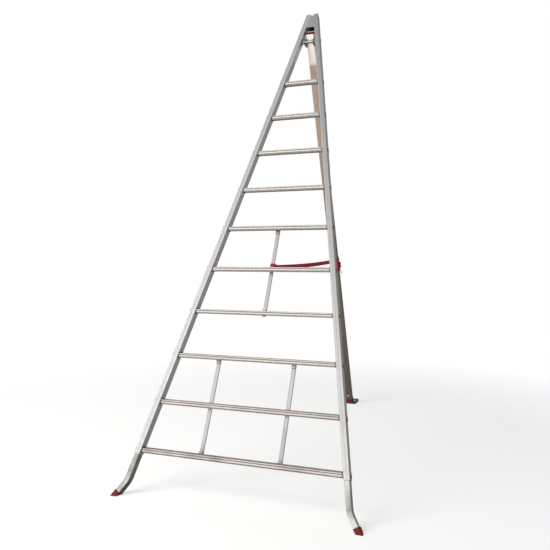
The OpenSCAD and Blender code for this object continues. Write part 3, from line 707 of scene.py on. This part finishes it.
def strap_run():
    """The free strap, its sewn start at the strut's loop, and the stub that goes into the leg's wrapping."""
    chord = web_point(1.0) - web_point(0.0)
    run = chord.length
    first = SEWN_LENGTH / run
    steps = 150
    shares = [first + (1 - first) * i / steps for i in range(steps + 1)]
    strap = webbing("strap_webbing", [web_frame(u) for u in shares], WEB_W, WEB_T)
    set_material(strap, "webbing")
    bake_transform(strap)
    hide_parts("strap_front", "strap_rear")

    sewn_start(first, run)
    start_stitching(run)

    centre, across, _ = web_frame(1.0)
    back = Vector((0, 1, 0))
    stub = webbing(
        "strap_tucked_end",
        [(centre + back * (0.0002 + 0.002 * i), across, Vector((1, 0, 0))) for i in range(19)],
        WEB_W, WEB_T,
    )
    finish_piece(stub, "webbing", "leg", "webbing")


def around(width, depth, radius):
    """Points and outward directions round a rounded rectangle, with its flats divided too."""
    outline = [Vector((x, y, 0)) for x, y in rounded_rect(width, depth, radius, 5)]
    points = []
    for here, ahead in zip(outline, outline[1:] + outline[:1]):
        pieces = max(int((ahead - here).length / 0.006), 1)
        points += [here.lerp(ahead, i / pieces) for i in range(pieces)]
    result = []
    for i, point in enumerate(points):
        tangent = points[(i + 1) % len(points)] - points[i - 1]
        result.append((point, Vector((tangent.y, -tangent.x, 0)).normalized()))
    return result


def strap_loop():
    """The band sewn round the strut where the strap starts."""
    grow = WEB_T / 2 + 2 * LAYER_GAP
    place = LADDER @ Matrix.Translation((0, STRUT_DEP + STRUT_T / 2, LOOP_S))
    turn = place.to_3x3()
    ring = around(STRUT_W + 2 * grow, STRUT_T + 2 * grow, 0.005 + grow)
    frames = [(place @ point, turn @ Vector((0, 0, 1)), turn @ out) for point, out in ring]
    loop = webbing("strap_loop_webbing", frames, WEB_W, WEB_T, closed=True)
    finish_piece(loop, "webbing", "ladder", "webbing", "strap_loop")


def strap_wrap():
    """Four shingled turns of webbing round the leg: each turn's lower edge lies over the next one."""
    ring = around(LEG_W, LEG_D, LEG_CORNER)
    turns = 4
    pitch = 0.0240
    level_share = 0.45
    shingle = 0.105
    above_leg = 0.0028
    top = -KNOT_L + 0.0055
    wobbles = 6
    place = LEG @ Matrix.Translation((0, LEG_OFFSET, 0))
    turn = place.to_3x3()
    noise = random.Random(7)
    wobble = [noise.uniform(-0.0006, 0.0006) for _ in range(turns * wobbles + 2)]
    frames = []
    total = turns * len(ring)
    for i in range(total + 1):
        point, out = ring[i % len(ring)]
        share = i / len(ring)
        k = share * wobbles
        lift = wobble[int(k)] * (1 - k % 1) + wobble[int(k) + 1] * (k % 1)
        drop = pitch * max(share - level_share, 0.0) * turns / (turns - level_share)
        centre = point + out * above_leg + Vector((0, 0, top - drop + lift))
        across = (Vector((0, 0, 1)) - out * shingle).normalized()
        frames.append((place @ centre, turn @ across, turn @ (out + Vector((0, 0, shingle))).normalized()))
    wrap = webbing("strap_wrapping", frames, WEB_W, 0.0021)
    finish_piece(wrap, "webbing", "leg", "webbing", "strap_wrap")


# The knot's middle in the leg's frame
KNOT_CENTRE = Vector((LEG_W / 2 + 0.0128, LEG_OFFSET - 0.004, -KNOT_L - 0.050))


def strap_knot():
    """The bunched knot on the leg's right side."""
    count = 120
    line = []
    for i in range(count):
        a = 2 * math.pi * i / count
        line.append(Vector((
            0.0042 * math.sin(3 * a),
            0.0075 * math.cos(a) - 0.0056 * math.cos(2 * a),
            0.0135 * math.sin(a) + 0.0100 * math.sin(2 * a),
        )))
    turn = LEG.to_3x3()
    frames = []
    for i, point in enumerate(line):
        ahead = (line[(i + 1) % count] - line[i - 1]).normalized()
        radial = Vector((0.9, point.y * 40, point.z * 22))
        out = (radial - ahead * radial.dot(ahead)).normalized()
        across = ahead.cross(out)
        frames.append((LEG @ (KNOT_CENTRE + point), turn @ across, turn @ out))
    knot = webbing("strap_knot_webbing", frames, 0.0165, 0.0062, closed=True)
    smooth = knot.modifiers.new("soft_folds", "SUBSURF")
    smooth.levels = 1
    smooth.render_levels = 1
    finish_piece(knot, "webbing", "leg", "webbing", "strap_knot")


def knot_tail():
    """The strap's free end, which hangs from the knot and turns a little."""
    turn = LEG.to_3x3()
    steps = 24
    tail = []
    for i in range(steps + 1):
        f = i / steps
        point = KNOT_CENTRE + Vector((-0.004 + 0.007 * f * f, 0.003 + 0.012 * f, -0.016 - 0.062 * f))
        twist = Matrix.Rotation(0.15 + 0.5 * f, 3, "Z")
        across = twist @ Vector((0, 1, 0))
        out = twist @ Vector((1, 0, 0.1)).normalized()
        tail.append((LEG @ point, turn @ across, turn @ out))
    hanging = webbing("strap_knot_tail", tail, 0.024, WEB_T)
    finish_piece(hanging, "webbing", "leg", "webbing")


# ---------------------------------------------------------------- light, floor and camera
CAMERA_AZIMUTH = math.radians(20.67)
CAMERA_DROP = math.radians(1.57)
CAMERA_AIM = Vector((-0.2494, 0.0, 1.1858))
CAMERA_DISTANCE = 4.517
CAMERA_LENS = 40.806
SENSOR = 36.0
WORLD_STRENGTH = 1.9


def make_camera():
    data = bpy.data.cameras.new("camera")
    data.lens = CAMERA_LENS
    data.sensor_width = SENSOR
    data.clip_end = 200.0
    camera = bpy.data.objects.new("camera", data)
    bpy.context.scene.collection.objects.link(camera)
    ahead = Vector((
        -math.sin(CAMERA_AZIMUTH) * math.cos(CAMERA_DROP),
        math.cos(CAMERA_AZIMUTH) * math.cos(CAMERA_DROP),
        -math.sin(CAMERA_DROP),
    ))
    camera.location = CAMERA_AIM - ahead * CAMERA_DISTANCE
    camera.rotation_euler = ahead.to_track_quat("-Z", "Y").to_euler()
    bpy.context.scene.camera = camera


def area_light(name, place, aim, size, power, color=(1.0, 1.0, 1.0)):
    data = bpy.data.lights.new(name, "AREA")
    data.shape = "RECTANGLE"
    data.size, data.size_y = size
    data.energy = power
    data.color = color
    light = bpy.data.objects.new(name, data)
    light.location = place
    light.rotation_euler = (Vector(aim) - Vector(place)).to_track_quat("-Z", "Y").to_euler()
    bpy.context.scene.collection.objects.link(light)
    return light


def make_world():
    """A studio with a bright front wall, a greyer ceiling and a dark back; the camera sees plain white."""
    world = bpy.data.worlds.new("studio")
    bpy.context.scene.world = world
    world.use_nodes = True
    tree = world.node_tree
    tree.nodes.clear()
    coords = tree.nodes.new("ShaderNodeTexCoord")
    split = tree.nodes.new("ShaderNodeSeparateXYZ")
    tree.links.new(coords.outputs["Generated"], split.inputs[0])
    walls = []
    for axis, slope, stops in (
        ("Y", -0.5, [(0.0, 0.15), (0.45, 0.20), (0.68, 0.58), (0.9, 0.80)]),
        ("Z", 0.5, [
            (0.0, 0.10), (0.11, 0.12), (0.17, 0.24), (0.24, 0.62), (0.32, 1.0),
            (0.62, 1.0), (0.72, 0.95), (0.855, 0.66), (0.95, 0.34), (1.0, 0.27),
        ]),
        ("X", 0.5, [(0.0, 1.0), (0.60, 1.0), (0.90, 0.70), (1.0, 0.60)]),
    ):
        shift = tree.nodes.new("ShaderNodeMath")
        shift.operation = "MULTIPLY_ADD"
        shift.inputs[1].default_value = slope
        shift.inputs[2].default_value = 0.5
        tree.links.new(split.outputs[axis], shift.inputs[0])
        ramp = tree.nodes.new("ShaderNodeValToRGB")
        ramp_stops(ramp, stops)
        tree.links.new(shift.outputs[0], ramp.inputs["Fac"])
        walls.append(ramp.outputs["Color"])
    total = walls[0]
    for wall in walls[1:]:
        product = tree.nodes.new("ShaderNodeMath")
        product.operation = "MULTIPLY"
        tree.links.new(total, product.inputs[0])
        tree.links.new(wall, product.inputs[1])
        total = product.outputs[0]
    light = tree.nodes.new("ShaderNodeBackground")
    tree.links.new(total, light.inputs["Color"])
    light.inputs["Strength"].default_value = WORLD_STRENGTH
    seen = tree.nodes.new("ShaderNodeBackground")
    seen.inputs["Color"].default_value = (1.0, 1.0, 1.0, 1.0)
    path = tree.nodes.new("ShaderNodeLightPath")
    mix = tree.nodes.new("ShaderNodeMixShader")
    tree.links.new(path.outputs["Is Camera Ray"], mix.inputs[0])
    tree.links.new(light.outputs[0], mix.inputs[1])
    tree.links.new(seen.outputs[0], mix.inputs[2])
    output = tree.nodes.new("ShaderNodeOutputWorld")
    tree.links.new(mix.outputs[0], output.inputs["Surface"])


def make_floor():
    """A pale floor that fades to white away from the ladder."""
    fade_start = 1.7
    fade_length = 2.0
    least_white = 0.55
    bm = bmesh.new()
    bmesh.ops.create_circle(bm, cap_ends=True, radius=60.0, segments=96)
    floor = mesh_object("floor", bm)
    finish = Finish("pale_floor", (0.86, 0.86, 0.855), 0.0, 0.85)
    place = finish.add("SeparateXYZ", {"Vector": finish.place()})
    reach = finish.math("SQRT", finish.math(
        "ADD",
        finish.math("POWER", place.outputs["X"], 2.0),
        finish.math("POWER", place.outputs["Y"], 2.0),
    ))
    fade = finish.math("DIVIDE", finish.math("SUBTRACT", reach, fade_start), fade_length, clamp=True)
    fade = finish.math("ADD", finish.math("MULTIPLY", fade, 1.0 - least_white), least_white)
    white = finish.add("Emission", {"Color": (1.0, 1.0, 1.0, 1.0), "Strength": 1.0})
    mix = finish.add("MixShader", {0: fade})
    finish.tree.links.new(finish.shader.outputs[0], mix.inputs[1])
    finish.tree.links.new(white.outputs[0], mix.inputs[2])
    output = finish.tree.nodes["Material Output"]
    finish.tree.links.new(mix.outputs[0], output.inputs["Surface"])
    floor.data.materials.append(finish.material)
    floor.visible_glossy = False


make_camera()
make_world()
make_floor()
key = area_light("key", (-3.2, -5.2, 4.6), (0, -0.4, 1.2), (4.5, 3.5), 520.0, (1.0, 0.985, 0.96))
key.visible_glossy = False
area_light("rim", (-4.5, 2.0, 4.5), (0, 0, 1.4), (3.0, 3.0), 60.0)
bpy.context.scene.view_settings.view_transform = "Standard"

finish_cad_nodes()
for side in (-1, 1):
    foot_tube(side)
    foot_cap(side)
leg_top_cap()
strap_run()
strap_loop()
strap_wrap()
strap_knot()
knot_tail()
